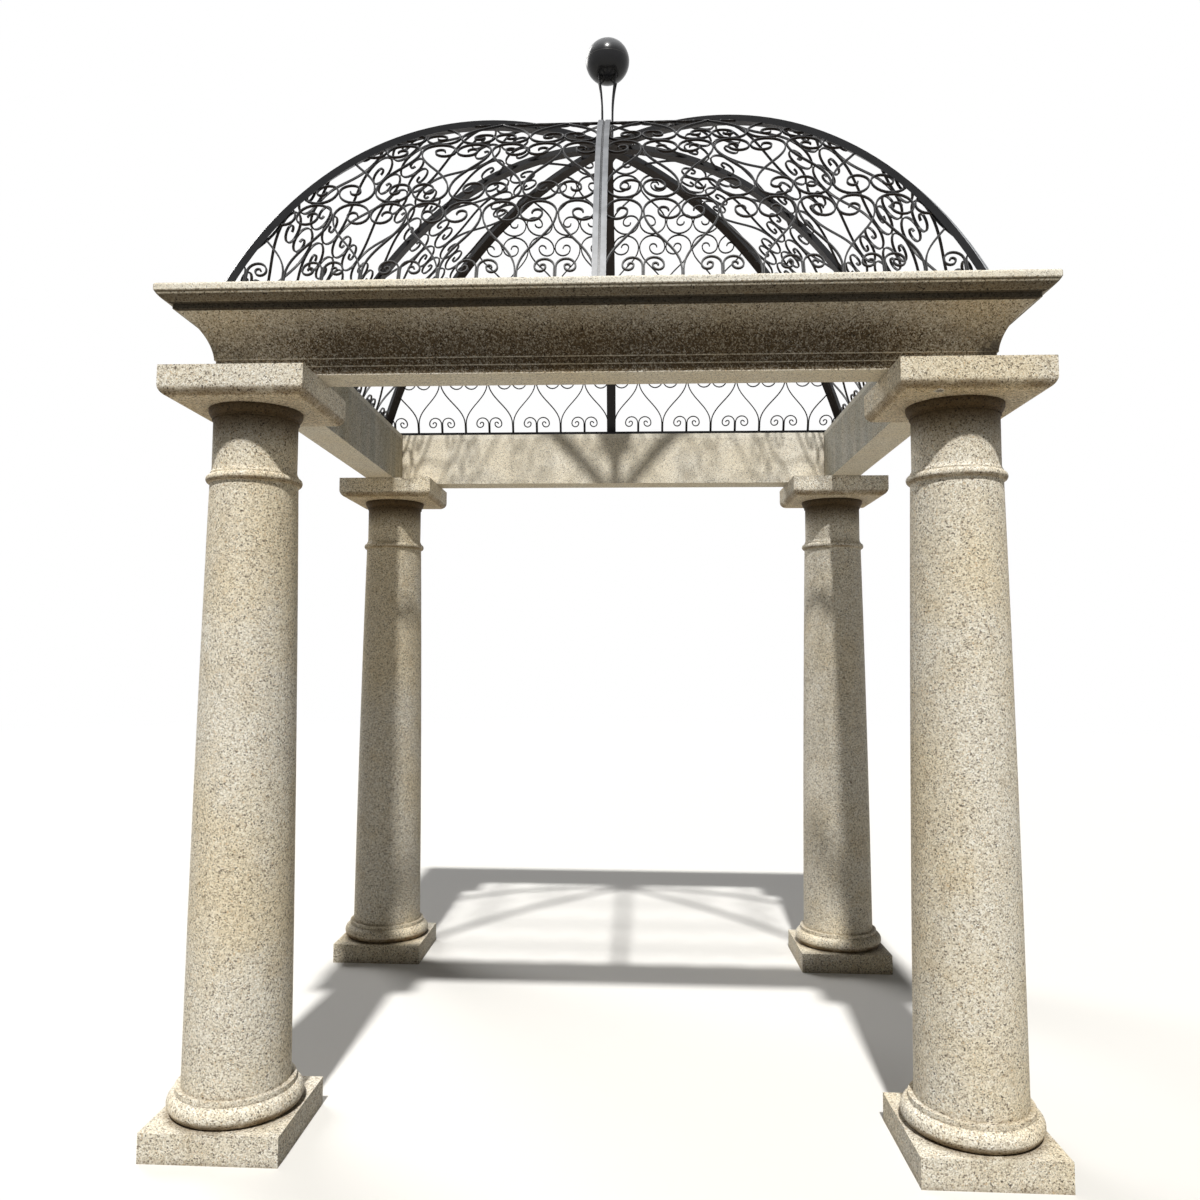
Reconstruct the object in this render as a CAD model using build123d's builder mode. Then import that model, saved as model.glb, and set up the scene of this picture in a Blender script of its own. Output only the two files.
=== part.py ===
"""Stone gazebo: four granite columns, four moulded granite beams and an iron scrollwork dome.

Millimetres, +Z up. The origin is on the floor, at the centre of the plan.
The front, one of the two long sides, faces -Y.
"""
from build123d import *
import math
import os

os.makedirs("parts", exist_ok=True)

# Plan, measured over the outer edge of the cornice
cornice_width = 3000.0
cornice_depth = 2630.0

# Columns
column_height = 2600.0
column_inset = 266.0            # cornice edge to column centre
shaft_foot_radius = 180.0
shaft_top_radius = 152.0
shaft_swell = 3.5               # entasis, outward from the straight taper
neck_radius = 146.5
astragal_radius = 166.0
astragal_height = 32.0
astragal_drop = 358.0           # soffit to the middle of the ring
astragal_fillet = 6.0
neck_flare = 18.0
flare_bend = (0.3, 0.4)         # shares of the flare's depth and rise at its middle point

# Column base
plinth_size = 460.0
plinth_height = 95.0
torus_radius = 224.0
torus_height = 70.0
base_fillet_radius = 198.0
base_fillet_height = 16.0

# Capital
abacus_size = 500.0
abacus_height = 105.0
abacus_round = 38.0
echinus_radius = 163.0
echinus_height = 40.0
echinus_land = 7.0
echinus_bulge = 0.75            # share of the overhang gained at half its rise
echinus_fillet_radius = 151.0
echinus_fillet_height = 8.0

# Beams, as insets from the cornice edge and drops from the beam's top
beam_height = 280.0
soffit_inset = 162.0
soffit_width = 151.0
fascia_step = 5.0
lower_fascia_drop = 252.0
upper_fascia_drop = 226.0
cavetto_foot_drop = 220.0
cavetto_top_inset = 50.0
cavetto_top_drop = 77.0
cavetto_hollow = 22.0           # depth of the curve below its chord
recess_inset = 47.0
recess_drop = 61.0
ovolo_foot_inset = 41.0
ovolo_swell = 4.0
cap_drop = 25.0
cap_round = 11.0

# Iron dome
frame_inset = 160.0             # cornice edge to the outer face of the base frame
frame_width = 60.0
frame_height = 35.0
rib_width = 50.0
rib_depth = 25.0
rib_groove_width = 9.0
rib_groove_depth = 5.0
dome_rise = 1098.0              # top of the base frame to the rib centre line at the apex
hub_radius = 76.0
hub_height = 34.0
hub_crown = 12.0
seat_gap = 0.3

# Scrollwork, as lengths along the vault
scroll_start = 16.5             # middle of a side to the first joint
scroll_pitch = 276.5
scroll_bar_width = 9.0
scroll_bar_depth = 14.0
scroll_stem = 59.0              # base frame to the first joint
scroll_gap = 142.0              # from an upper joint to the lower joint of the next row
scroll_rises = (285.0, 285.0, 285.0, 285.0)     # lower to upper joint, row by row
back_scroll_rises = (240.0, 230.0, 230.0, 230.0)
ogee_shoulder = 0.25            # share of a loop gained before the straight of an ogee bar
ogee_lift = 0.27                # share of the rise where that straight starts
vault_steps = 400

# Finial
ball_radius = 103.0
ball_centre_rise = 1560.0       # above the top of the beams
rod_radius = 4.5
rod_foot_reach = 34.0           # hub axis to the rod's axis, at its foot
rod_top_reach = 60.0            # and where it meets the ball
rod_straight_share = 0.45

# Derived places
half_width = cornice_width / 2
half_depth = cornice_depth / 2
beam_top = column_height + beam_height
spring_height = beam_top + frame_height
vault_inset = frame_inset + rib_depth / 2
vault_half_width = half_width - vault_inset
vault_half_depth = half_depth - vault_inset
vault_half_diagonal = math.hypot(vault_half_width, vault_half_depth)
vault_centre = (dome_rise ** 2 - vault_half_diagonal ** 2) / (2 * dome_rise)
vault_radius = dome_rise - vault_centre
apex_height = spring_height + dome_rise
hub_top = apex_height + hub_height / 2

sides = {"left": -1, "right": 1}
ends = {"front": -1, "back": 1}


def save(part, label):
    """Label a finished piece and write it as its own file."""
    part.label = label
    export_step(part, f"parts/{label}.step")


# Columns

base_height = plinth_height + torus_height + base_fillet_height
echinus_foot = column_height - abacus_height - echinus_height


def column_base(x, y):
    """Square plinth with a torus and a fillet on it."""
    torus_foot = plinth_height
    torus_top = plinth_height + torus_height
    torus_edge = torus_radius - torus_height / 2
    with BuildPart() as base:
        with BuildSketch(Plane((x, y, 0))):
            Rectangle(plinth_size, plinth_size)
        extrude(amount=plinth_height)
        with BuildSketch(Plane((x, y, 0), x_dir=(1, 0, 0), z_dir=(0, -1, 0))):
            with BuildLine():
                Polyline((0, base_height), (0, torus_foot), (torus_edge, torus_foot))
                ThreePointArc(
                    (torus_edge, torus_foot),
                    (torus_radius, (torus_foot + torus_top) / 2),
                    (torus_edge, torus_top),
                )
                Polyline(
                    (torus_edge, torus_top),
                    (base_fillet_radius, torus_top),
                    (base_fillet_radius, base_height),
                    (0, base_height),
                )
            make_face()
        revolve(axis=Axis((x, y, 0), (0, 0, 1)))
    return base.part


def column_shaft(x, y):
    """Tapered round shaft with entasis, an astragal ring and a plain neck."""
    ring_middle = column_height - astragal_drop
    ring_foot = ring_middle - astragal_height / 2
    ring_top = ring_middle + astragal_height / 2
    taper_top = ring_foot - astragal_fillet
    flare_foot = ring_top + astragal_fillet
    taper_middle_radius = (shaft_foot_radius + shaft_top_radius) / 2 + shaft_swell
    flare_depth = shaft_top_radius - neck_radius
    flare_middle = (neck_radius + flare_depth * flare_bend[0], flare_foot + neck_flare * flare_bend[1])
    with BuildPart() as shaft:
        with BuildSketch(Plane((x, y, 0), x_dir=(1, 0, 0), z_dir=(0, -1, 0))):
            with BuildLine():
                Polyline((0, echinus_foot), (0, base_height), (shaft_foot_radius, base_height))
                ThreePointArc(
                    (shaft_foot_radius, base_height),
                    (taper_middle_radius, (base_height + taper_top) / 2),
                    (shaft_top_radius, taper_top),
                )
                Line((shaft_top_radius, taper_top), (shaft_top_radius, ring_foot))
                ThreePointArc(
                    (shaft_top_radius, ring_foot),
                    (astragal_radius, ring_middle),
                    (shaft_top_radius, ring_top),
                )
                Line((shaft_top_radius, ring_top), (shaft_top_radius, flare_foot))
                ThreePointArc(
                    (shaft_top_radius, flare_foot),
                    flare_middle,
                    (neck_radius, flare_foot + neck_flare),
                )
                Polyline(
                    (neck_radius, flare_foot + neck_flare),
                    (neck_radius, echinus_foot),
                    (0, echinus_foot),
                )
            make_face()
        revolve(axis=Axis((x, y, 0), (0, 0, 1)))
    return shaft.part


def column_capital(x, y):
    """Echinus ring under a square abacus with a rounded lower edge."""
    abacus_foot = column_height - abacus_height
    fillet_top = echinus_foot + echinus_fillet_height
    land_foot = abacus_foot - echinus_land
    ovolo_bulge = echinus_fillet_radius + (echinus_radius - echinus_fillet_radius) * echinus_bulge
    with BuildPart() as capital:
        with BuildSketch(Plane((x, y, abacus_foot))):
            Rectangle(abacus_size, abacus_size)
        slab = extrude(amount=abacus_height)
        fillet(slab.edges().group_by(Axis.Z)[0], abacus_round)
        with BuildSketch(Plane((x, y, 0), x_dir=(1, 0, 0), z_dir=(0, -1, 0))):
            with BuildLine():
                Polyline(
                    (0, abacus_foot),
                    (0, echinus_foot),
                    (echinus_fillet_radius, echinus_foot),
                    (echinus_fillet_radius, fillet_top),
                )
                ThreePointArc(
                    (echinus_fillet_radius, fillet_top),
                    (ovolo_bulge, (fillet_top + land_foot) / 2),
                    (echinus_radius, land_foot),
                )
                Polyline((echinus_radius, land_foot), (echinus_radius, abacus_foot), (0, abacus_foot))
            make_face()
        revolve(axis=Axis((x, y, 0), (0, 0, 1)))
    return capital.part


for end, y_sign in ends.items():
    for side, x_sign in sides.items():
        column_x = x_sign * (half_width - column_inset)
        column_y = y_sign * (half_depth - column_inset)
        save(column_base(column_x, column_y), f"{end}_{side}_base")
        save(column_shaft(column_x, column_y), f"{end}_{side}_shaft")
        save(column_capital(column_x, column_y), f"{end}_{side}_capital")


# Beams

def moulded_beam(half_length, reach):
    """Beam along X on the -Y side, its cornice edge at -reach, mitred at both ends."""
    lower_fascia = soffit_inset
    upper_fascia = lower_fascia - fascia_step
    cavetto_foot = upper_fascia - fascia_step
    inner_face = soffit_inset + soffit_width
    chord = (cavetto_foot - cavetto_top_inset, cavetto_foot_drop - cavetto_top_drop)
    chord_length = math.hypot(*chord)
    hollow_inset = (cavetto_foot + cavetto_top_inset) / 2 + cavetto_hollow * chord[1] / chord_length
    hollow_drop = (cavetto_foot_drop + cavetto_top_drop) / 2 - cavetto_hollow * chord[0] / chord_length
    ovolo_middle_inset = ovolo_foot_inset / 2 - ovolo_swell
    ovolo_middle_drop = (cap_drop + recess_drop) / 2 + ovolo_swell
    with BuildPart() as beam:
        with BuildSketch(Plane((-half_length, -reach, beam_top), x_dir=(0, 1, 0), z_dir=(1, 0, 0))):
            with BuildLine():
                Polyline(
                    (cap_round, 0),
                    (inner_face, 0),
                    (inner_face, -beam_height),
                    (lower_fascia, -beam_height),
                    (lower_fascia, -lower_fascia_drop),
                    (upper_fascia, -lower_fascia_drop),
                    (upper_fascia, -upper_fascia_drop),
                    (cavetto_foot, -upper_fascia_drop),
                    (cavetto_foot, -cavetto_foot_drop),
                )
                ThreePointArc(
                    (cavetto_foot, -cavetto_foot_drop),
                    (hollow_inset, -hollow_drop),
                    (cavetto_top_inset, -cavetto_top_drop),
                )
                Polyline(
                    (cavetto_top_inset, -cavetto_top_drop),
                    (recess_inset, -cavetto_top_drop),
                    (recess_inset, -recess_drop),
                    (ovolo_foot_inset, -recess_drop),
                )
                ThreePointArc(
                    (ovolo_foot_inset, -recess_drop),
                    (ovolo_middle_inset, -ovolo_middle_drop),
                    (0, -cap_drop),
                )
                Line((0, -cap_drop), (0, -cap_round))
                RadiusArc((0, -cap_round), (cap_round, 0), cap_round)
            make_face()
        extrude(amount=2 * half_length)
        split(bisect_by=Plane((-half_length, -reach, 0), z_dir=(1, -1, 0)), keep=Keep.TOP)
        split(bisect_by=Plane((half_length, -reach, 0), z_dir=(-1, -1, 0)), keep=Keep.TOP)
    return beam.part


front_beam = moulded_beam(half_width, half_depth)
side_beam = moulded_beam(half_depth, half_width)
save(front_beam, "front_beam")
save(front_beam.rotate(Axis.Z, 180), "back_beam")
save(side_beam.rotate(Axis.Z, -90), "left_beam")
save(side_beam.rotate(Axis.Z, 90), "right_beam")


# Base frame of the dome, four mitred bars on top of the beams

def frame_bar(half_length, reach):
    """Flat bar along X on the -Y side, its outer face at -reach, mitred at both ends."""
    with BuildPart() as bar:
        with BuildSketch(Plane((0, -reach, beam_top))):
            Rectangle(2 * half_length, frame_width, align=(Align.CENTER, Align.MIN))
        extrude(amount=frame_height)
        split(bisect_by=Plane((-half_length, -reach, 0), z_dir=(1, -1, 0)), keep=Keep.TOP)
        split(bisect_by=Plane((half_length, -reach, 0), z_dir=(-1, -1, 0)), keep=Keep.TOP)
    return bar.part


frame_half_width = half_width - frame_inset
frame_half_depth = half_depth - frame_inset
front_bar = frame_bar(frame_half_width, frame_half_depth)
side_bar = frame_bar(frame_half_depth, frame_half_width)
save(front_bar, "front_frame_bar")
save(front_bar.rotate(Axis.Z, 180), "back_frame_bar")
save(side_bar.rotate(Axis.Z, -90), "left_frame_bar")
save(side_bar.rotate(Axis.Z, 90), "right_frame_bar")


# Ribs of the dome

def vault_reach(foot_reach, height):
    """Distance from the centre line of the dome at a height above its base frame."""
    swept = vault_radius ** 2 - (height - vault_centre) ** 2
    return foot_reach * math.sqrt(max(swept, 0)) / vault_half_diagonal


def dome_rib(foot_x, foot_y):
    """Grooved bar on the vault's curve, from the base frame to the hub at the apex."""
    foot_reach = math.hypot(foot_x, foot_y)
    outward = Vector(foot_x, foot_y, 0).normalized()
    rib_plane = Plane(
        (0, 0, spring_height + vault_centre),
        x_dir=outward,
        z_dir=outward.cross(Vector(0, 0, 1)),
    )
    half_axis = vault_radius * foot_reach / vault_half_diagonal
    foot_angle = math.degrees(math.asin(-(vault_centre + rib_width) / vault_radius))
    with BuildPart() as rib:
        with BuildLine(rib_plane) as course:
            EllipticalCenterArc((0, 0), half_axis, vault_radius, foot_angle, arc_size=90 - foot_angle)
        with BuildSketch(Plane(course.line @ 0, x_dir=rib_plane.z_dir, z_dir=course.line % 0)):
            Rectangle(rib_width, rib_depth)
            with Locations((0, rib_depth / 2)):
                Rectangle(rib_groove_width, 2 * rib_groove_depth, mode=Mode.SUBTRACT)
        sweep()
        split(bisect_by=Plane.XY.offset(spring_height), keep=Keep.TOP)
        with BuildSketch(Plane.XY.offset(spring_height)):
            Circle(hub_radius + seat_gap)
        extrude(amount=2 * dome_rise, mode=Mode.SUBTRACT)
    return rib.part


rib_feet = {
    "front_rib": (0, -vault_half_depth),
    "back_rib": (0, vault_half_depth),
    "left_rib": (-vault_half_width, 0),
    "right_rib": (vault_half_width, 0),
    "front_left_rib": (-vault_half_width, -vault_half_depth),
    "front_right_rib": (vault_half_width, -vault_half_depth),
    "back_left_rib": (-vault_half_width, vault_half_depth),
    "back_right_rib": (vault_half_width, vault_half_depth),
}
for rib_name, (rib_foot_x, rib_foot_y) in rib_feet.items():
    save(dome_rib(rib_foot_x, rib_foot_y), rib_name)


# Scrollwork between the ribs

def height_along_vault(run):
    """Height above the base frame after a run up the middle of the front."""
    half_axis = vault_radius * vault_half_depth / vault_half_diagonal
    angle = math.asin(-vault_centre / vault_radius)
    angle_step = (math.pi / 2 - angle) / vault_steps
    travelled = 0.0
    while travelled < run and angle < math.pi / 2:
        travelled += angle_step * math.hypot(half_axis * math.sin(angle), vault_radius * math.cos(angle))
        angle += angle_step
    return vault_centre + vault_radius * math.sin(angle)


def ogee_courses(half_length, row_rises):
    """Courses of the bent bars of one panel, each a zigzag from the base frame to the apex.

    Their points are (place along the side, run up the vault).
    """
    loop = scroll_pitch / 4
    shoulder = loop * ogee_shoulder
    courses = []
    for place in range(math.ceil((half_length - scroll_start) / scroll_pitch)):
        joint = scroll_start + place * scroll_pitch
        for turn in (-1, 1) if place else (1,):
            middle = joint + turn * loop
            far = joint + turn * 2 * loop
            low = scroll_stem
            course = [(joint, 0)]
            for rise in row_rises:
                high = low + rise
                lift = rise * ogee_lift
                course += [
                    (joint, low),
                    (joint + turn * shoulder, low + lift),
                    (far - turn * shoulder, high - lift),
                    (far, high),
                    (middle, high + scroll_gap / 2),
                ]
                low = high + scroll_gap
            courses.append(course)
    return courses


def scroll_panel(half_length, foot_reach, row_rises):
    """Bars of half a side, on the -Y side between the middle rib and the right corner rib."""
    corner = Vector(half_length, -foot_reach, 0).normalized()
    corner_side = Vector(corner.Y, -corner.X, 0) * (rib_width / 2)
    with BuildPart() as panel:
        for course in ogee_courses(half_length, row_rises):
            spots = []
            for along, run in course:
                height = height_along_vault(run)
                spots.append((along, -vault_reach(foot_reach, height), spring_height + height))
            with BuildLine() as centre_line:
                Polyline(*spots)
            with BuildSketch(Plane(spots[0], x_dir=(1, 0, 0), z_dir=centre_line.line % 0)):
                Rectangle(scroll_bar_width, scroll_bar_depth)
            sweep(path=centre_line.line, transition=Transition.RIGHT)
        split(bisect_by=Plane.YZ.offset(rib_width / 2), keep=Keep.TOP)
        split(bisect_by=Plane(tuple(corner_side), z_dir=tuple(corner_side)), keep=Keep.TOP)
        split(bisect_by=Plane.XY.offset(spring_height), keep=Keep.TOP)
        with BuildSketch(Plane.XY.offset(spring_height)):
            Circle(hub_radius + seat_gap)
        extrude(amount=2 * dome_rise, mode=Mode.SUBTRACT)
    return panel.part


front_scrolls = scroll_panel(vault_half_width, vault_half_depth, scroll_rises)
back_scrolls = scroll_panel(vault_half_width, vault_half_depth, back_scroll_rises).mirror(Plane.XZ)
side_scrolls = scroll_panel(vault_half_depth, vault_half_width, scroll_rises).rotate(Axis.Z, 90)
save(front_scrolls, "front_right_scrolls")
save(front_scrolls.mirror(Plane.YZ), "front_left_scrolls")
save(back_scrolls, "back_right_scrolls")
save(back_scrolls.mirror(Plane.YZ), "back_left_scrolls")
save(side_scrolls, "right_back_scrolls")
save(side_scrolls.mirror(Plane.XZ), "right_front_scrolls")
save(side_scrolls.mirror(Plane.YZ), "left_back_scrolls")
save(side_scrolls.mirror(Plane.YZ).mirror(Plane.XZ), "left_front_scrolls")


# Hub, rods and ball at the apex

with BuildPart() as hub:
    with BuildSketch(Plane.XY.offset(apex_height - hub_height / 2)):
        Circle(hub_radius)
    extrude(amount=hub_height)
    fillet(hub.edges().group_by(Axis.Z)[-1], hub_crown)
save(hub.part, "apex_hub")

ball_height = beam_top + ball_centre_rise
ball_drop = math.sqrt(ball_radius ** 2 - rod_top_reach ** 2)
rod_length = ball_height - ball_drop + 2 * rod_radius - hub_top
rod_straight = rod_length * rod_straight_share
for end, y_sign in ends.items():
    for side, x_sign in sides.items():
        rod_plane = Plane((0, 0, hub_top), x_dir=(x_sign, y_sign, 0), z_dir=(y_sign, -x_sign, 0))
        with BuildPart() as rod:
            with BuildLine(rod_plane):
                straight = Line((rod_foot_reach, 0), (rod_foot_reach, rod_straight))
                TangentArc((rod_foot_reach, rod_straight), (rod_top_reach, rod_length), tangent=(0, 1))
            with BuildSketch(Plane.XY.offset(hub_top).shift_origin(straight @ 0)):
                Circle(rod_radius)
            sweep()
            with Locations((0, 0, ball_height)):
                Sphere(ball_radius + seat_gap, mode=Mode.SUBTRACT)
        save(rod.part, f"{end}_{side}_rod")

with BuildPart() as ball:
    with Locations((0, 0, ball_height)):
        Sphere(ball_radius)
save(ball.part, "finial_ball")
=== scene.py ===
import bisect
import math
import bmesh
import bpy
from mathutils import Matrix, Vector


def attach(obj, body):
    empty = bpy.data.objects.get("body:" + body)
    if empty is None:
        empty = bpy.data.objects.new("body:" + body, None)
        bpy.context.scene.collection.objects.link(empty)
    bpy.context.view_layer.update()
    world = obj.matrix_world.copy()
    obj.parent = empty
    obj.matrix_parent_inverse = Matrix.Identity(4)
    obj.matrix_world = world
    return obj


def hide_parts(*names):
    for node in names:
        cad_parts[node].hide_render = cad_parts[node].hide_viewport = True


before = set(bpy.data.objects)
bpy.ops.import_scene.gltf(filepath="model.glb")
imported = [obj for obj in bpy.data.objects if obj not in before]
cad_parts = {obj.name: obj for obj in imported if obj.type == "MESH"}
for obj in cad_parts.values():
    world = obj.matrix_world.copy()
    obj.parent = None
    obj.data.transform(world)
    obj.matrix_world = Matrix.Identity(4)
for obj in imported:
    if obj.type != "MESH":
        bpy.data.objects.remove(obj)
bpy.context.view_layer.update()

# Sizes shared with the solid model
half_width = 1.5
half_depth = 1.315
beam_top = 2.88
spring_height = 2.915
vault_half_width = 1.3275
vault_half_depth = 1.1425
dome_rise = 1.098
hub_radius = 0.076
ball_height = 4.44
soffit_inset = 0.162
abacus_foot = 2.495
cap_drop = 0.025

# Scrollwork, as lengths along the vault. The back's rows lie closer than the others
first_joint = 0.0165
pitch = 0.2765
bar_thickness = 0.006
bar_depth = 0.010
bar_chamfer = 0.001
stem_rise = 0.059
row_rises = (0.285, 0.285, 0.285, 0.285)
back_row_rises = (0.240, 0.230, 0.230, 0.230, 0.230)
row_gap = 0.142
curl_radii = (pitch / 4 - bar_thickness / 2, 0.040, 0.019)
horn_level = 0.080
back_horn_level = 0.060
horn_radii = (0.035, 0.020, 0.010)
rib_side = 0.022
shortest_piece = 0.03

# Spots of weld where bars touch, a little taller than wide
bead_radius = 0.005
bead_stretch = (0.9, 0.9, 1.15)

# Fineness of the curves
vault_steps = 400
ogee_steps = 14
ogee_hold = 0.40
fewest_turn_steps = 6
turn_steps_per_metre = 110
smooth_angle = math.radians(40)

# Camera of the upper view
camera_place = Vector((0.1122, -4.482, 1.6196))
camera_yaw = math.radians(-3.0497)
camera_pitch = math.radians(4.2786)
camera_roll = math.radians(0.29355)
focal_px = 986.55
axis_px = (578.22, 584.20)
picture_px = 1200
sensor_mm = 36

# Grains of the granite, as (where the colour starts, colour) on a scale from 0 to 1
minerals = (
    (0.00, (0.13, 0.11, 0.09)),
    (0.04, (0.36, 0.31, 0.245)),
    (0.14, (0.57, 0.515, 0.42)),
    (0.33, (0.76, 0.705, 0.59)),
    (0.62, (0.88, 0.835, 0.73)),
    (0.86, (0.95, 0.93, 0.86)),
    (0.97, (0.70, 0.57, 0.40)),
)
grains_per_metre = 245.0
specks_per_metre = 470.0
grain_warp = 0.007
black_speck = (0.11, 0.09, 0.07)
black_speck_share = 0.08
white_speck = (0.90, 0.86, 0.76)
white_speck_share = 0.12

# Scale of the streaks, narrow across and long down
streak_scale = (14.0, 14.0, 1.6)

# Shades that the colour of the stone is multiplied by
cloud_shade = (0.97, 0.91, 0.79)
patch_shade = (0.74, 0.66, 0.54)
rust_and_bounce_tint = (1.0, 0.88, 0.68)
hollow_shade_and_soil = (0.30, 0.25, 0.19)
deep_painted_shade = (0.12, 0.09, 0.055)
rounded_underside_shade = (0.32, 0.25, 0.17)
blotch_shade = (0.52, 0.42, 0.29)
side_wall_shade = (0.56, 0.59, 0.62)
band_shade = (1.0, 0.92, 0.80)

# Colours that cover the stone
end_wall_light = (0.93, 0.90, 0.81)
soffit_bounce_light = (0.98, 0.90, 0.72)
cap_light = (0.95, 0.92, 0.82)
soot_black = (0.055, 0.053, 0.050)
mortar_brown = (0.36, 0.31, 0.24)
scratch_black = (0.02, 0.017, 0.013)
chip_rim = (0.83, 0.79, 0.69)
chip_pit_shade = (0.13, 0.10, 0.07)

# Colours of the ironwork
paint_dark = (0.005, 0.005, 0.006)
paint_light = (0.018, 0.018, 0.020)
paint_brown = (0.022, 0.013, 0.008)
gloss_dark = (0.006, 0.006, 0.007)
gloss_light = (0.016, 0.016, 0.018)
ball_sky_sheen = (0.30, 0.31, 0.33)
seam_grey = (0.060, 0.058, 0.055)
glint_grey = (0.62, 0.63, 0.66)
glint_white = (0.93, 0.93, 0.94)

# Heights between which the painted shade and the soot on the outside of the beams fade: shade thins, shade
# ends, soot ends
shade_thins = (2.700, 2.800)
shade_ends = (2.799, 2.805)
soot_ends = (2.670, 2.720)

# Distances from the mitres of the beams: the joint ends, the soot ends, the painted shade grows to its
# full
joint_ends = (0.0012, 0.0030)
soot_fades = (0.02, 0.17)
shade_grows = (0.10, 0.50)

# Share of the front's painted shade that the other sides have
side_shade_share = 0.22
side_bands = 0.55

# Painted shade in the recess and the grooves under the cap of the beams, as (lowest, highest, share of the
# light left)
moulding_shade_bands = ((2.799, 2.8225, 0.10), (2.8225, 2.842, 0.25), (2.8465, 2.852, 0.25))

# Lower edges of the two fascias and of the hollow above them, where thin pale lines are left without the
# painted shade
pale_edge_levels = (2.600, 2.628, 2.654)
pale_edge_height = 0.0035

# Scratch on the front beam, from end to end as (x, z), and the plane y that it lies in front of
scratch = ((-0.710, 2.744), (-0.650, 2.679))
scratch_plane = -1.0

# Heights between which the painted shade under the abacus grows
abacus_shade_grows = (2.31, 2.46)

# Chips in the capitals, as (centre, radius), with rim and pit as shares of the radius
capital_chips = (
    ((1.118, -1.258, 2.495), 0.018),
    ((1.005, 1.299, 2.53), 0.016),
)
chip_rim_reach = 1.25
chip_pit_reach = 0.72
chip_depth = 2.0

# Share of the dome's dust and painted sheen that is left at the hub, and where they start to thin above
# the frame
hub_dust_and_sheen = 0.38
dust_and_sheen_thin_above = 0.05

# Floor and sky, each as the camera sees it and as it lights the object
floor_shown = (0.78, 0.77, 0.75)
floor_lit = (0.30, 0.29, 0.27)
sky_shown = (1, 1, 1, 1)
sky_lit = (0.92, 0.96, 1.0, 1)
sky_strength = 0.05
floor_radius = 80
floor_corners = 96
floor_fade = (5.0, 22.0)


# Camera

def make_camera():
    """Camera at the photograph's viewing angle."""
    forward = Vector((
        math.sin(camera_yaw) * math.cos(camera_pitch),
        math.cos(camera_yaw) * math.cos(camera_pitch),
        math.sin(camera_pitch),
    ))
    level_right = Vector((math.cos(camera_yaw), -math.sin(camera_yaw), 0))
    level_up = level_right.cross(forward)
    right = level_right * math.cos(camera_roll) + level_up * math.sin(camera_roll)
    up = level_up * math.cos(camera_roll) - level_right * math.sin(camera_roll)
    lens = bpy.data.cameras.new("camera")
    lens.sensor_width = sensor_mm
    lens.lens = focal_px / picture_px * sensor_mm
    lens.shift_x = (picture_px / 2 - axis_px[0]) / picture_px
    lens.shift_y = (axis_px[1] - picture_px / 2) / picture_px
    lens.clip_end = 200
    camera = bpy.data.objects.new("camera", lens)
    turn = Matrix((right, up, -forward)).transposed()
    camera.matrix_world = Matrix.Translation(camera_place) @ turn.to_4x4()
    bpy.context.scene.collection.objects.link(camera)
    bpy.context.scene.camera = camera


make_camera()
bpy.context.scene.view_settings.view_transform = "Standard"


# Materials

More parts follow.
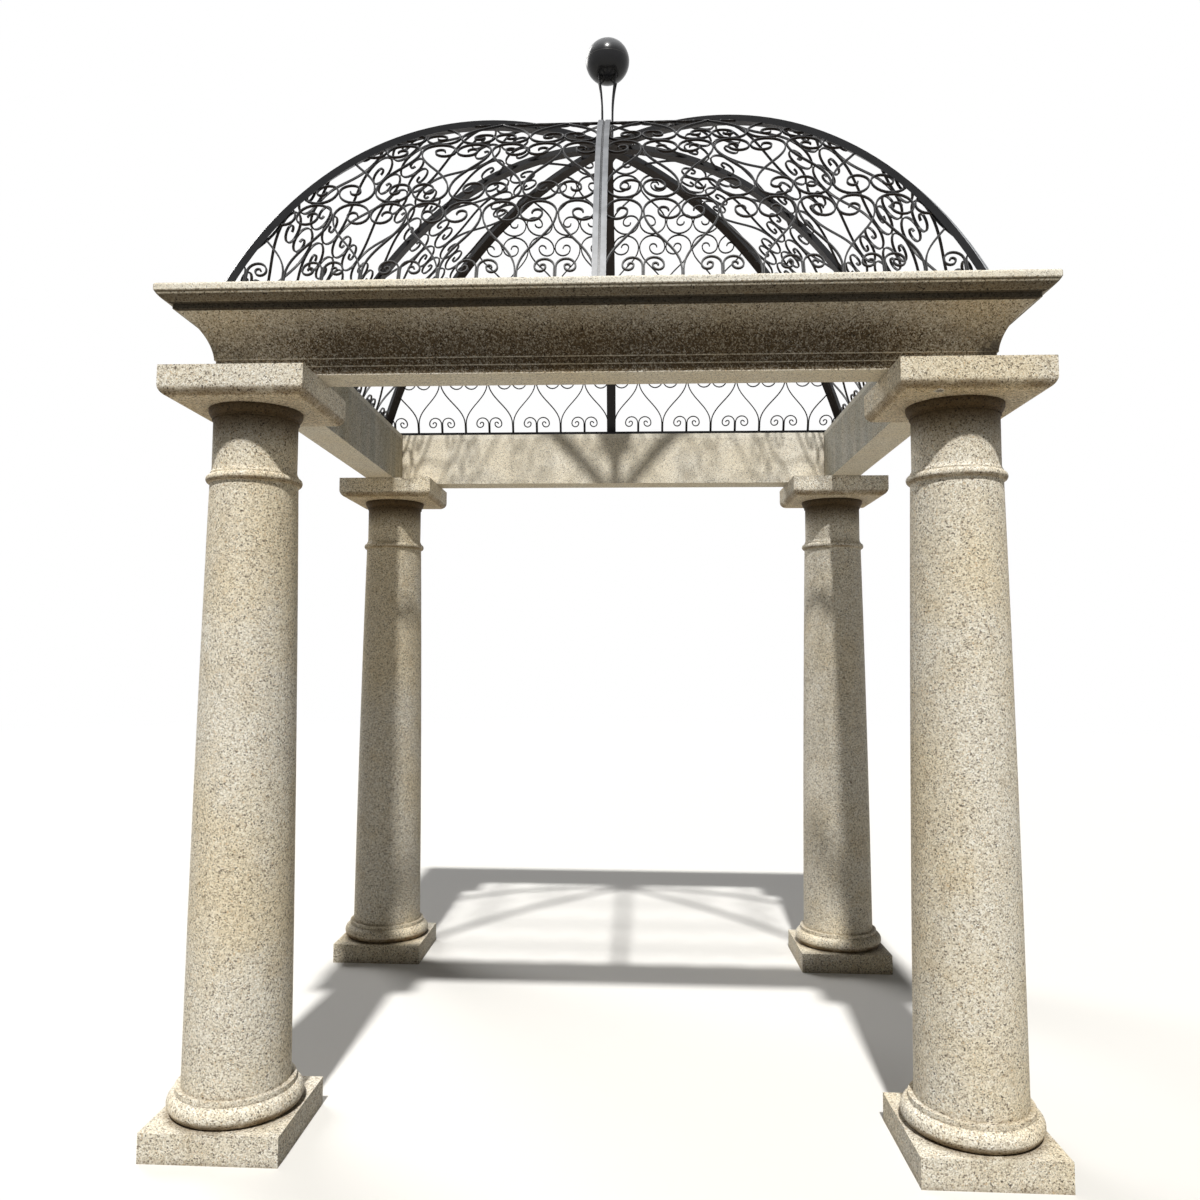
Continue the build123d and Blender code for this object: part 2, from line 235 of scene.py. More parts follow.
class Nodes:
    """Short calls to build a node tree, where a value is a socket or a number."""

    def __init__(self, tree):
        self.tree = tree
        tree.nodes.clear()

    def add(self, kind, inputs=None, **settings):
        """A node with its settings, and its inputs linked to sockets or set to values."""
        made = self.tree.nodes.new(kind)
        for key, value in settings.items():
            setattr(made, key, value)
        for key, value in (inputs or {}).items():
            self.join(value, made.inputs[key])
        return made

    def join(self, value, socket):
        """Links a socket, or sets a value."""
        if isinstance(value, bpy.types.NodeSocket):
            self.tree.links.new(value, socket)
        else:
            socket.default_value = value

    def math(self, operation, a, b=0.0, clamp=False):
        """One operation on two values."""
        made = self.add("ShaderNodeMath", {0: a, 1: b}, operation=operation, use_clamp=clamp)
        return made.outputs[0]

    def product(self, first, *others, clamp=False):
        """All values multiplied."""
        total = first
        for other in others:
            total = self.math("MULTIPLY", total, other, clamp)
        return total

    def opposite(self, value):
        """1 where the value is 0, and 0 where it is 1."""
        return self.math("SUBTRACT", 1.0, value)

    def scaled(self, value, low, high):
        """low where the value is 0, and high where it is 1."""
        return self.math("ADD", self.math("MULTIPLY", value, high - low), low)

    def rising(self, value, low, high):
        """0 below low and 1 above high, smooth between."""
        made = self.add(
            "ShaderNodeMapRange",
            {0: value, 1: low, 2: high, 3: 0.0, 4: 1.0},
            interpolation_type="SMOOTHSTEP",
        )
        return made.outputs[0]

    def falling(self, value, low, high):
        """1 below low and 0 above high, smooth between."""
        return self.opposite(self.rising(value, low, high))

    def band(self, value, low, high, soft):
        """1 between low and high and 0 outside, smooth at both ends."""
        past_low = self.rising(value, low - soft, low + soft)
        past_high = self.rising(value, high - soft, high + soft)
        return self.math("SUBTRACT", past_low, past_high)

    def ramp(self, value, stops):
        """Colour of the last stop that the value has reached."""
        made = self.add("ShaderNodeValToRGB", {0: value})
        made.color_ramp.interpolation = "CONSTANT"
        elements = made.color_ramp.elements
        elements[0].position, elements[0].color = stops[0][0], (*stops[0][1], 1)
        elements[1].position, elements[1].color = stops[-1][0], (*stops[-1][1], 1)
        for place, colour in stops[1:-1]:
            stop = elements.new(place)
            stop.color = (*colour, 1)
        return made.outputs[0]

    def mix(self, factor, a, b, blend="MIX"):
        """Two colours mixed, where a colour is a socket or three numbers."""
        made = self.add("ShaderNodeMix", data_type="RGBA", blend_type=blend)
        self.join(factor, made.inputs[0])
        for colour, socket in ((a, made.inputs[6]), (b, made.inputs[7])):
            self.join((*colour, 1) if isinstance(colour, tuple) else colour, socket)
        return made.outputs[2]

    def noise(self, place, scale, detail, roughness):
        """Even noise around one half."""
        inputs = {"Vector": place, "Scale": scale, "Detail": detail, "Roughness": roughness}
        return self.add("ShaderNodeTexNoise", inputs).outputs["Fac"]

    def cells(self, place, scale):
        """Cells of a Voronoi pattern: distance from the middle, and three random values a cell."""
        made = self.add("ShaderNodeTexVoronoi", {"Vector": place, "Scale": scale})
        values = self.add("ShaderNodeSeparateColor", {0: made.outputs["Color"]})
        return made.outputs["Distance"], values.outputs

    def place(self):
        """Place of a point on its piece."""
        return self.add("ShaderNodeTexCoord").outputs["Object"]

    def facing(self):
        """The three parts of the surface's normal."""
        return self.parts(self.add("ShaderNodeNewGeometry").outputs["Normal"])

    def parts(self, vector):
        """X, Y and Z of a vector."""
        return self.add("ShaderNodeSeparateXYZ", {0: vector}).outputs

    def openness(self, distance):
        """1 in the open, and less in hollows about as wide as the distance."""
        return self.add("ShaderNodeAmbientOcclusion", {"Distance": distance}, samples=6).outputs["AO"]

    def blend(self, factor, a, b):
        """Two shaders mixed."""
        return self.add("ShaderNodeMixShader", {0: factor, 1: a, 2: b}).outputs[0]


class Surface(Nodes):
    """A material with one principled shader."""

    def __init__(self, name):
        self.material = bpy.data.materials.new(name)
        self.material.use_nodes = True
        super().__init__(self.material.node_tree)
        self.shader = self.add("ShaderNodeBsdfPrincipled")
        self.output = self.add("ShaderNodeOutputMaterial", {0: self.shader.outputs[0]})

    def finish(self, colour, rough, height, strength, depth, specular=0.5):
        """Joins the colour, the roughness and a fine relief to the shader."""
        relief = {"Height": height, "Strength": strength, "Distance": depth}
        bump = self.add("ShaderNodeBump", relief)
        self.join(colour, self.shader.inputs["Base Color"])
        self.join(rough, self.shader.inputs["Roughness"])
        self.join(bump.outputs[0], self.shader.inputs["Normal"])
        self.shader.inputs["Specular IOR Level"].default_value = specular
        return self.material


class Granite(Surface):
    """Pale beige granite in fine grains of feldspar, quartz and black mica, darkened in its hollows by
    painted shade streaked like soil.

    warmth is the share of a warm tint on its undersides, part rust and part painted bounce light from the
    ground.
    """

    def __init__(self, name, warmth):
        super().__init__(name)
        self.spot = self.place()
        self.x, self.y, self.z = self.parts(self.spot)
        self.sideward, self.endward, self.upward = self.facing()
        self.downward = self.math("MULTIPLY", self.upward, -1.0)
        self.underside = self.rising(self.downward, 0.15, 0.95)
        self.patches = self.noise(self.spot, scale=8.0, detail=4.0, roughness=0.65)
        tall = self.add("ShaderNodeMapping", {0: self.spot, 3: streak_scale}).outputs[0]
        self.streaks = self.noise(tall, scale=1.0, detail=4.0, roughness=0.6)
        self.make_grains()

        clouds = self.noise(self.spot, scale=1.7, detail=5.0, roughness=0.6)
        self.shade(self.rising(clouds, 0.38, 0.66), cloud_shade)
        self.shade(self.rising(self.patches, 0.52, 0.74), patch_shade, most=0.35)
        # Warm tint on the undersides: part rust, part painted bounce light from the ground
        self.shade(self.underside, rust_and_bounce_tint, most=warmth)
        # Painted shade in the hollows, from an occlusion mask, streaked like soil
        shade_zone = self.falling(self.openness(0.045), 0.30, 0.90)
        streaked = self.rising(self.streaks, 0.20, 0.55)
        self.shade(self.product(shade_zone, streaked), hollow_shade_and_soil, most=0.75)

    def make_grains(self):
        """Grains with wavy edges, and finer specks over them."""
        warp_inputs = {"Vector": self.spot, "Scale": 90.0, "Detail": 2.0, "Roughness": 0.5}
        warp = self.add("ShaderNodeTexNoise", warp_inputs).outputs["Color"]
        middle = (0.5, 0.5, 0.5)
        shift = self.add("ShaderNodeVectorMath", {0: warp, 1: middle}, operation="SUBTRACT")
        bent = self.add(
            "ShaderNodeVectorMath",
            {0: shift.outputs[0], 1: (grain_warp, grain_warp, grain_warp), 2: self.spot},
            operation="MULTIPLY_ADD",
        ).outputs[0]
        self.height, self.grain = self.cells(bent, grains_per_metre)
        self.colour = self.ramp(self.grain[0], minerals)
        speck = self.cells(bent, specks_per_metre)[1][1]
        black = self.math("LESS_THAN", speck, black_speck_share)
        white = self.math("GREATER_THAN", speck, 1 - white_speck_share)
        self.cover(black, black_speck, most=0.55)
        self.cover(white, white_speck, most=0.40)

    def cover(self, factor, colour, most=1.0):
        """Lays a colour over the stone, with the share most where the factor is 1."""
        self.colour = self.mix(self.product(factor, most), self.colour, colour)

    def shade(self, factor, shade, most=1.0):
        """Multiplies the colour of the stone by a shade, with the share most where the factor is 1."""
        self.cover(factor, self.mix(1.0, self.colour, shade, "MULTIPLY"), most)

    def carve(self, depth):
        """Lowers the relief."""
        self.height = self.math("SUBTRACT", self.height, depth)

    def stain_and_shade_beams(self):
        """Stains, painted light and painted shade of the beams, their mitre joints, and the scratch on the
        front.
        """
        across = self.math("ABSOLUTE", self.x)
        along = self.math("ABSOLUTE", self.y)
        past_side = self.math("SUBTRACT", across, half_width - soffit_inset)
        past_end = self.math("SUBTRACT", along, half_depth - soffit_inset)
        outer = self.rising(self.math("MAXIMUM", past_side, past_end), -0.001, 0.0)
        difference = self.math("SUBTRACT", across, along)
        past_mitre = self.math("SUBTRACT", difference, half_width - half_depth)
        from_mitre = self.math("ABSOLUTE", past_mitre)

        self.light_and_shade_inside(outer)
        # Painted light on the cap at the top of the beams
        cap_foot = beam_top - cap_drop
        cap = self.rising(self.z, cap_foot - 0.001, cap_foot + 0.001)
        self.cover(cap, cap_light, most=0.35)
        self.stain_and_shade_outside(outer, past_mitre, from_mitre)

        joint = self.falling(from_mitre, *joint_ends)
        self.cover(joint, mortar_brown, most=0.8)
        self.carve(joint)
        self.scratch_front()

    def light_and_shade_inside(self, outer):
        """Painted shade with grey runs inside the side beams, and painted light inside the others and on
        the soffit.
        """
        inner = self.opposite(outer)
        inner_wall = self.product(inner, self.rising(self.upward, -0.5, -0.2))
        side_wall = self.product(inner_wall, self.rising(self.math("ABSOLUTE", self.sideward), 0.7, 0.95))
        end_wall = self.product(inner_wall, self.rising(self.math("ABSOLUTE", self.endward), 0.7, 0.95))
        grey_runs = self.scaled(self.rising(self.streaks, 0.30, 0.62), 0.6, 1.0)
        # Painted shade on the inner faces of the side beams, with grey runs
        self.shade(self.product(side_wall, grey_runs), side_wall_shade)
        # Painted light on the inner faces of the front and back beams
        self.cover(end_wall, end_wall_light, most=0.30)
        # Painted bounce light on the soffit
        self.cover(self.product(self.underside, inner), soffit_bounce_light, most=0.30)

    def stain_and_shade_outside(self, outer, past_mitre, from_mitre):
        """Painted shade on the outer mouldings, streaked like dirt and in full on the front alone, and
        soot near the mitres.
        """
        colour_before_shade = self.colour
        on_ends = self.math("LESS_THAN", past_mitre, 0.0)
        on_front = self.product(on_ends, self.math("LESS_THAN", self.y, 0.0))
        # Painted shade of the cornice on the cavetto and fascias, streaked like dirt
        cornice_shade = self.product(
            outer,
            self.falling(self.z, *shade_ends),
            self.rising(self.streaks, -0.10, 0.32),
            self.scaled(self.rising(from_mitre, *shade_grows), 0.65, 1.0),
            self.scaled(self.rising(self.z, *shade_thins), 1.0, 0.5),
            self.scaled(self.grain[2], 0.55, 1.35),
            clamp=True,
        )
        self.shade(self.product(cornice_shade, self.scaled(on_front, side_shade_share, 1.0)), deep_painted_shade)
        band_share = self.product(outer, self.scaled(on_front, side_bands, 1.0))
        # Painted shade in the recess and grooves under the cap
        for lowest, highest, left in moulding_shade_bands:
            shaded_band = self.product(self.band(self.z, lowest, highest, 0.001), band_share)
            self.shade(shaded_band, tuple(left * part for part in band_shade))
        # Thin pale lines along the edges where the painted shade is left off
        for edge in pale_edge_levels:
            pale_line = self.band(self.z, edge, edge + pale_edge_height, 0.0006)
            self.cover(self.product(pale_line, outer), colour_before_shade, most=0.8)
        soot = self.product(
            outer,
            self.falling(from_mitre, *soot_fades),
            self.falling(self.z, *soot_ends),
            self.rising(self.patches, 0.38, 0.58),
        )
        self.cover(soot, soot_black, most=0.75)

    def scratch_front(self):
        """Black scratch on the front beam."""
        (start_x, start_z), (end_x, end_z) = scratch
        length = math.hypot(end_x - start_x, end_z - start_z)
        step_x, step_z = (end_x - start_x) / length, (end_z - start_z) / length
        off_x = self.math("SUBTRACT", self.x, start_x)
        off_z = self.math("SUBTRACT", self.z, start_z)
        travelled = self.math("ADD", self.product(off_x, step_x), self.product(off_z, step_z))
        offset = self.math("SUBTRACT", self.product(off_x, step_z), self.product(off_z, step_x))
        line = self.product(
            self.band(travelled, 0.0, length, 0.004),
            self.falling(self.math("ABSOLUTE", offset), 0.0008, 0.0020),
            self.math("LESS_THAN", self.y, scratch_plane),
        )
        self.cover(line, scratch_black, most=0.85)
        self.carve(line)

    def stain_and_shade_columns(self):
        """Painted shade under the abacus and on the rounded mouldings that face down, and blotches on the
        undersides.
        """
        # Painted shade under the abacus
        below_abacus = self.falling(self.z, abacus_foot - 0.001, abacus_foot)
        shade_zone = self.product(self.rising(self.z, *abacus_shade_grows), below_abacus)
        self.shade(shade_zone, deep_painted_shade)
        # Painted shade on the rounded mouldings that face down
        tilted = self.rising(self.downward, 0.10, 0.40)
        rounded = self.math("SUBTRACT", tilted, self.rising(self.downward, 0.80, 0.98))
        uneven = self.rising(self.patches, 0.28, 0.52)
        self.shade(self.product(rounded, self.opposite(shade_zone), uneven), rounded_underside_shade, most=0.65)
        spots = self.noise(self.spot, scale=60.0, detail=4.0, roughness=0.7)
        blotches = self.rising(spots, 0.45, 0.62)
        self.shade(self.product(blotches, self.underside), blotch_shade, most=0.4)

    def chip(self, centre, radius):
        """A small spall with a ragged pale rim and a pit darkened with painted shade."""
        reach = self.add("ShaderNodeVectorMath", {0: self.spot, 1: centre}, operation="DISTANCE")
        lump = self.product(self.math("SUBTRACT", self.patches, 0.5), radius * 0.5)
        ragged = self.math("ADD", reach.outputs["Value"], lump)
        ragged = self.math("ADD", ragged, self.product(self.grain[1], radius * 0.35))
        rim = self.falling(ragged, radius, radius * chip_rim_reach)
        pit = self.falling(ragged, radius * chip_pit_reach, radius)
        self.cover(rim, chip_rim, most=0.7)
        # Painted shade in the pit
        self.cover(pit, chip_pit_shade, most=0.8)
        self.carve(self.product(pit, chip_depth))

    def finished(self):
        """The material, with rough grains and fine pits."""
        rough = self.scaled(self.grain[1], 0.56, 0.78)
        pits = self.noise(self.spot, scale=260.0, detail=3.0, roughness=0.7)
        surface = self.math("ADD", self.product(self.height, 0.4), pits)
        return self.finish(self.colour, rough, surface, strength=0.30, depth=0.0015, specular=0.12)


def column_granite(name, warmth, chips=()):
    """Stone of the columns."""
    stone = Granite(name, warmth)
    stone.stain_and_shade_columns()
    for centre, radius in chips:
        stone.chip(centre, radius)
    return stone.finished()


def beam_granite(name, warmth):
    """Stone of the beams."""
    stone = Granite(name, warmth)
    stone.stain_and_shade_beams()
    return stone.finished()


def black_paint(name, roughness, dust_and_sheen, dust_and_sheen_colour, specular, faces_up):
    """Black paint, a little uneven: brown where it faces down, paler where it faces up with dust and a
    painted sheen of reflected light.

    faces_up says between which heights of the normal the dust and sheen grow. They thin towards the hub.
    """
    n = Surface(name)
    place = n.place()
    tone = n.noise(place, scale=14.0, detail=4.0, roughness=0.6)
    colour = n.mix(tone, paint_dark, paint_light)
    upward = n.facing()[2]
    below = n.rising(n.math("MULTIPLY", upward, -1.0), 0.1, 0.8)
    colour = n.mix(n.product(below, 0.8), colour, paint_brown)
    dome_height = n.rising(n.parts(place)[2], spring_height + dust_and_sheen_thin_above, spring_height + dome_rise)
    # Dust and a painted sheen of reflected light where the paint faces up
    dusty_sheen = n.product(
        n.rising(upward, *faces_up),
        n.rising(n.openness(0.008), 0.62, 0.96),
        n.scaled(n.rising(tone, 0.32, 0.68), 0.70, 1.0),
        n.scaled(dome_height, 1.0, hub_dust_and_sheen),
    )
    colour = n.mix(n.product(dusty_sheen, dust_and_sheen), colour, dust_and_sheen_colour)
    brushed = n.noise(place, scale=120.0, detail=3.0, roughness=0.6)
    rough = n.scaled(brushed, roughness - 0.08, roughness + 0.08)
    rough = n.math("ADD", rough, n.product(dusty_sheen, dust_and_sheen * 0.1))
    return n.finish(colour, rough, brushed, strength=0.18, depth=0.001, specular=specular)


def ball_paint(name):
    """High gloss black with a ground weld seam round the middle, and a painted reflection of the sky on
    the upper half, made hazy by noise.
    """
    n = Surface(name)
    place = n.place()
    above = n.math("SUBTRACT", n.parts(place)[2], ball_height)
    seam = n.falling(n.math("ABSOLUTE", above), 0.0005, 0.0022)
    haze = n.noise(place, scale=30.0, detail=4.0, roughness=0.6)
    colour = n.mix(haze, gloss_dark, gloss_light)
    # Painted reflection of the sky on the upper half
    dusty_sheen = n.product(n.rising(above, -0.004, 0.060), n.scaled(haze, 0.5, 0.9))
    colour = n.mix(n.product(dusty_sheen, 0.50), colour, ball_sky_sheen)
    colour = n.mix(n.product(seam, 0.5), colour, seam_grey)
    rough = n.math("ADD", n.scaled(haze, 0.16, 0.28), n.product(seam, 0.2))
    rough = n.math("ADD", rough, n.product(dusty_sheen, 0.10))
    height = n.math("ADD", seam, n.product(haze, 0.3))
    return n.finish(colour, rough, height, strength=0.12, depth=0.001, specular=0.25)


def glinting_weld(name):
    """Pale spots of weld on the side panels, painted as glints of light."""
    n = Surface(name)
    ripple = n.noise(n.place(), scale=420.0, detail=3.0, roughness=0.6)
    colour = n.mix(ripple, glint_grey, glint_white)
    n.shader.inputs["Metallic"].default_value = 0.35
    return n.finish(colour, n.scaled(ripple, 0.18, 0.38), ripple, strength=0.25, depth=0.001)


column_stone = column_granite("granite_columns", warmth=0.35)
capital_stone = column_granite("granite_capitals", warmth=0.7, chips=capital_chips)
beam_stone = beam_granite("granite_beams", warmth=0.35)
# On the ribs the dust and sheen is mostly a painted sheen of reflected light, palest near the foot
rib_paint = black_paint(
    "rib_paint", roughness=0.35, dust_and_sheen=0.82, dust_and_sheen_colour=(0.50, 0.52, 0.56),
    specular=0.20, faces_up=(-0.05, 0.42),
)
frame_paint = black_paint(
    "frame_paint", roughness=0.36, dust_and_sheen=0.25, dust_and_sheen_colour=(0.30, 0.30, 0.31),
    specular=0.15, faces_up=(0.05, 0.75),
)
scroll_paint = black_paint(
    "scroll_paint", roughness=0.40, dust_and_sheen=0.24, dust_and_sheen_colour=(0.34, 0.34, 0.35),
    specular=0.15, faces_up=(0.05, 0.75),
)
weld_glint = glinting_weld("glinting_weld")
ball_gloss = ball_paint("ball_paint")


def dress(node, material):
    """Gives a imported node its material."""
    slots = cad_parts[node].material_slots
    for material_slot in slots:
        material_slot.material = material
    if not slots:
        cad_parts[node].data.materials.append(material)


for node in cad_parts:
    if node.endswith("_capital"):
        dress(node, capital_stone)
    elif node.endswith(("_base", "_shaft")):
        dress(node, column_stone)
    elif node.endswith("_beam"):
        dress(node, beam_stone)
    elif node == "finial_ball":
        dress(node, ball_gloss)
    elif node.endswith("_rod"):
        dress(node, scroll_paint)
    elif node.endswith("_frame_bar"):
        dress(node, frame_paint)
    else:
        dress(node, rib_paint)


# The vault that carries the scrollwork

half_diagonal = math.hypot(vault_half_width, vault_half_depth)
vault_centre = (dome_rise ** 2 - half_diagonal ** 2) / (2 * dome_rise)
vault_radius = dome_rise - vault_centre
foot_angle = math.asin(-vault_centre / vault_radius)
front_axis = vault_radius * vault_half_depth / half_diagonal

# Length of the way up the middle of the front, at even steps of the angle
angle_step = (math.pi / 2 - foot_angle) / vault_steps
run_angles = [foot_angle + angle_step * step for step in range(vault_steps + 1)]
runs = [0.0]
for lower, upper in zip(run_angles, run_angles[1:]):
    middle_angle = (lower + upper) / 2
    slope = math.hypot(front_axis * math.sin(middle_angle), vault_radius * math.cos(middle_angle))
    runs.append(runs[-1] + slope * (upper - lower))


def angle_at(run):
    """Angle on the vault's curve after a run up the middle of the front."""
    index = min(max(bisect.bisect_right(runs, run), 1), vault_steps)
    share = (run - runs[index - 1]) / (runs[index] - runs[index - 1])
    return run_angles[index - 1] + share * (run_angles[index] - run_angles[index - 1])


def on_vault(foot_reach, along, run):
    """Place and outward normal on the -Y side of the vault."""
    angle = angle_at(run)
    axis = vault_radius * foot_reach / half_diagonal
    height = spring_height + vault_centre + vault_radius * math.sin(angle)
    place = Vector((along, -axis * math.cos(angle), height))
    normal = Vector((0, -math.cos(angle) / axis, math.sin(angle) / vault_radius)).normalized()
    return place, normal


# Courses of the scrollwork, as points (along the side, run up the vault)

def half_turns(x, level, toward, over, radii):
    """Half circles that get smaller, from a point where the bar stands upright."""
    points = []
    for radius in radii:
        steps = fewest_turn_steps + round(radius * turn_steps_per_metre)
        for step in range(1, steps + 1):
            angle = math.pi * step / steps
            rise = radius * math.sin(angle)
            points.append((x + toward * radius * (1 - math.cos(angle)), level + (rise if over else -rise)))
        x += toward * 2 * radius
        toward = -toward
        over = not over
    return points


def ogee(x, low, far, high):
    """S curve between two upright ends."""
    points = []
    lift = (high - low) * ogee_hold
    for step in range(1, ogee_steps + 1):
        done = step / ogee_steps
        left = 1 - done
        first, second, third, fourth = left ** 3, 3 * done * left ** 2, 3 * done ** 2 * left, done ** 3
        points.append((
            (first + second) * x + (third + fourth) * far,
            first * low + second * (low + lift) + third * (high - lift) + fourth * high,
        ))
    return points


def scroll_courses(half_length, rises, horns_at):
    """Courses of all bars of one half side and the places where they touch."""
    courses = []
    touches = []
    half_bar = bar_thickness / 2
    columns = math.ceil(half_length / pitch) + 1
    low = stem_rise
    for row, rise in enumerate(rises):
        high = low + rise
        for column in range(columns):
            joint = first_joint + column * pitch
            for turn in (-1, 1):
                near = joint + turn * half_bar
                far = joint + turn * (pitch / 2 - half_bar)
                if row == 0:
                    start = [(near, 0.0), (near, low / 2), (near, low)]
                else:
                    start = half_turns(near, low, turn, False, curl_radii)[::-1] + [(near, low)]
                finish = half_turns(far, high, -turn, True, curl_radii)
                courses.append(start + ogee(near, low, far, high) + finish)
                touches.append((joint + turn * pitch / 4, high + row_gap / 2))
            touches += [(joint, low), (joint, high), (joint + pitch / 2, high)]
            if row > 0:
                touches.append((joint + pitch / 2, low))
        low = high + row_gap
    for column in range(columns):
        middle = first_joint + (column + 0.5) * pitch
        for turn in (-1, 1):
            near = middle + turn * half_bar
            horn = half_turns(near, horns_at, turn, True, horn_radii)
            courses.append([(near, 0.0), (near, horns_at / 2), (near, horns_at)] + horn)
        touches.append((middle, horns_at - bead_radius))
    return courses, touches


def inside(half_length, along, run):
    """How far a point is from the ribs and the hub, positive on the panel."""
    angle = angle_at(min(run, runs[-1]))
    share = vault_radius * math.cos(angle) / half_diagonal
    from_corner = half_length * share - along
    from_hub = math.hypot(along, vault_half_depth * share) - hub_radius
    return min(from_corner, from_hub, runs[-1] - run, along - rib_side)


def clipped(course, half_length):
    """The stretches of a course that lie on the panel, cut at its edges, without the shortest."""
    stretches = []
    stretch = []
    last = None
    for point in course:
        depth = inside(half_length, *point)
        if last and (depth > 0) != (last[1] > 0):
            share = last[1] / (last[1] - depth)
            cut = tuple(a + (b - a) * share for a, b in zip(last[0], point))
            stretch.append(cut)
            if depth <= 0:
                stretches.append(stretch)
                stretch = []
        if depth > 0:
            stretch.append(point)
        last = (point, depth)
    stretches.append(stretch)
    long_enough = []
    for stretch in stretches:
        length = sum(math.dist(a, b) for a, b in zip(stretch, stretch[1:]))
        if length > shortest_piece:
            long_enough.append(stretch)
    return long_enough


# Bars as mesh

def bar_section():
    """Corners of the bar's chamfered section: across the bar and along the vault's normal."""
    wide, deep = bar_thickness / 2, bar_depth / 2
    inner_wide, inner_deep = wide - bar_chamfer, deep - bar_chamfer
    return (
        (wide, -inner_deep), (wide, inner_deep), (inner_wide, deep), (-inner_wide, deep),
        (-wide, inner_deep), (-wide, -inner_deep), (-inner_wide, -deep), (inner_wide, -deep),
    )


def add_bar(mesh, places, normals):
    """Sweeps the section along a line of places into a bmesh."""
    section = bar_section()
    rings = []
    for index, place in enumerate(places):
        before = places[max(index - 1, 0)]
        after = places[min(index + 1, len(places) - 1)]
        ahead = (after - before).normalized()
        across = ahead.cross(normals[index]).normalized()
        rings.append([mesh.verts.new(place + across * a + normals[index] * b) for a, b in section])
    for ring, following in zip(rings, rings[1:]):
        for index in range(len(section)):
            beside = (index + 1) % len(section)
            mesh.faces.new((ring[index], ring[beside], following[beside], following[index]))
    mesh.faces.new(rings[0][::-1])
    mesh.faces.new(rings[-1])


def add_bead(mesh, place, normal, turned, material_index):
    """A spot of weld that stands on the vault."""
    lean = normal.to_track_quat("Z", "X").to_matrix()
    turn = (turned @ lean @ Matrix.Diagonal(bead_stretch)).to_4x4()
    turn.translation = turned @ place
    bead = bmesh.ops.create_icosphere(mesh, subdivisions=1, radius=bead_radius, matrix=turn)
    for corner in bead["verts"]:
        for face in corner.link_faces:
            face.material_index = material_index


def new_piece(name, mesh, materials):
    """Turns a bmesh into an object of the scene that rides with the gazebo."""
    bmesh.ops.recalc_face_normals(mesh, faces=mesh.faces)
    data = bpy.data.meshes.new(name)
    mesh.to_mesh(data)
    mesh.free()
    data.shade_smooth()
    data.set_sharp_from_angle(angle=smooth_angle)
    for material in materials:
        data.materials.append(material)
    piece = bpy.data.objects.new(name, data)
    bpy.context.scene.collection.objects.link(piece)
    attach(piece, "root")
    return piece


def scroll_panel(name, half_length, foot_reach, turned):
    """All scrollwork of half a side. turned takes a point of the front's right half to its place."""
    if name.startswith("back"):
        courses, touches = scroll_courses(half_length, back_row_rises, back_horn_level)
    else:
        courses, touches = scroll_courses(half_length, row_rises, horn_level)
    mesh = bmesh.new()
    for course in courses:
        for stretch in clipped(course, half_length):
            spots = [on_vault(foot_reach, *point) for point in stretch]
            places = [turned @ place for place, normal in spots]
            normals = [turned @ normal for place, normal in spots]
            add_bar(mesh, places, normals)
    # The welds of the side panels are painted pale, as glints of light
    bead_material = 1 if name.startswith(("left", "right")) else 0
    for touch in touches:
        if inside(half_length, *touch) > 0:
            add_bead(mesh, *on_vault(foot_reach, *touch), turned, bead_material)
    panel = new_piece(f"{name}_detail", mesh, (scroll_paint, weld_glint))
    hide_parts(name)


# Where the front's right half goes, as the rows of X and Y of the matrix that turns it there
panel_turns = {
    "front_right_scrolls": ((1, 0), (0, 1)),
    "front_left_scrolls": ((-1, 0), (0, 1)),
    "back_right_scrolls": ((1, 0), (0, -1)),
    "back_left_scrolls": ((-1, 0), (0, -1)),
    "right_back_scrolls": ((0, -1), (1, 0)),
    "right_front_scrolls": ((0, -1), (-1, 0)),
    "left_back_scrolls": ((0, 1), (1, 0)),
    "left_front_scrolls": ((0, 1), (-1, 0)),
}
for panel_name, (x_row, y_row) in panel_turns.items():
    turned = Matrix(((*x_row, 0), (*y_row, 0), (0, 0, 1)))
    if panel_name.startswith(("front", "back")):
        scroll_panel(panel_name, vault_half_width, vault_half_depth, turned)
    else:
        scroll_panel(panel_name, vault_half_depth, vault_half_width, turned)


# Studio: a pale floor that fades to white, a high key from the front, a wide fill from behind
# at the left, and a faint even sky

def seen_directly(n):
    """1 for what the camera sees, straight or by reflection, and 0 for light on the object."""
    rays = n.add("ShaderNodeLightPath").outputs
    mirrored = n.math("MAXIMUM", rays["Is Glossy Ray"], rays["Is Transmission Ray"])
    return n.math("MAXIMUM", rays["Is Camera Ray"], mirrored)


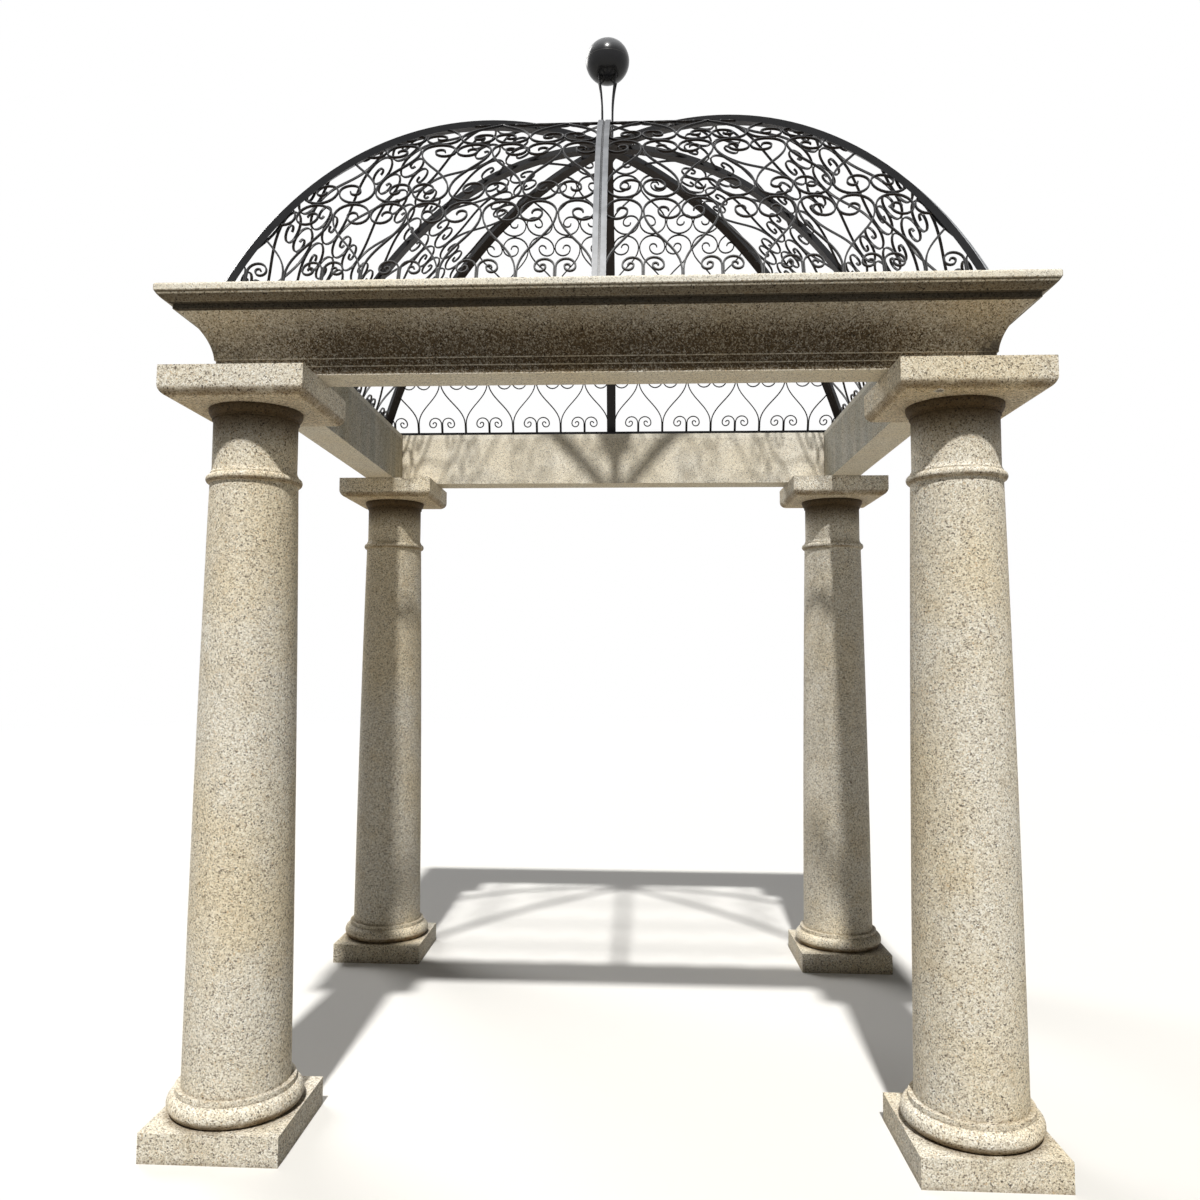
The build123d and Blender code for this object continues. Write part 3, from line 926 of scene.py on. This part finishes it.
def make_floor():
    """Pale floor that turns into the white backdrop far from the object."""
    n = Surface("floor")
    seen = seen_directly(n)
    n.join(n.mix(seen, floor_lit, floor_shown), n.shader.inputs["Base Color"])
    n.shader.inputs["Roughness"].default_value = 0.9
    place = n.add("ShaderNodeNewGeometry").outputs["Position"]
    reach = n.add("ShaderNodeVectorMath", {0: place}, operation="LENGTH").outputs["Value"]
    backdrop = n.add("ShaderNodeEmission", {"Color": sky_shown, "Strength": 1.0})
    far = n.product(n.rising(reach, *floor_fade), seen)
    n.join(n.blend(far, n.shader.outputs[0], backdrop.outputs[0]), n.output.inputs[0])
    mesh = bmesh.new()
    bmesh.ops.create_circle(mesh, cap_ends=True, segments=floor_corners, radius=floor_radius)
    data = bpy.data.meshes.new("floor")
    mesh.to_mesh(data)
    mesh.free()
    data.materials.append(n.material)
    floor = bpy.data.objects.new("floor", data)
    bpy.context.scene.collection.objects.link(floor)


def make_world():
    """White for the camera and for reflections, a faint cool grey for the light it gives."""
    world = bpy.data.worlds.new("world")
    bpy.context.scene.world = world
    world.use_nodes = True
    n = Nodes(world.node_tree)
    light = n.add("ShaderNodeBackground", {"Color": sky_lit, "Strength": sky_strength})
    backdrop = n.add("ShaderNodeBackground", {"Color": sky_shown, "Strength": 1.0})
    shown = n.blend(seen_directly(n), light.outputs[0], backdrop.outputs[0])
    n.add("ShaderNodeOutputWorld", {0: shown})


def make_lamp(name, azimuth, elevation, strength, softness, colour):
    """Soft directional lamp. Azimuth 0 shines from the front, positive from the right."""
    lamp = bpy.data.lights.new(name, "SUN")
    lamp.energy = strength
    lamp.angle = math.radians(softness)
    lamp.color = colour
    made = bpy.data.objects.new(name, lamp)
    side, lift = math.radians(azimuth), math.radians(elevation)
    source = Vector((math.sin(side) * math.cos(lift), -math.cos(side) * math.cos(lift), math.sin(lift)))
    made.rotation_euler = source.to_track_quat("Z", "Y").to_euler()
    bpy.context.scene.collection.objects.link(made)


make_floor()
make_world()
make_lamp("key", azimuth=-1.5, elevation=56.5, strength=4.0, softness=2.0, colour=(1.0, 0.985, 0.95))
make_lamp("fill", azimuth=-135, elevation=35, strength=1.3, softness=30, colour=(1.0, 0.985, 0.96))
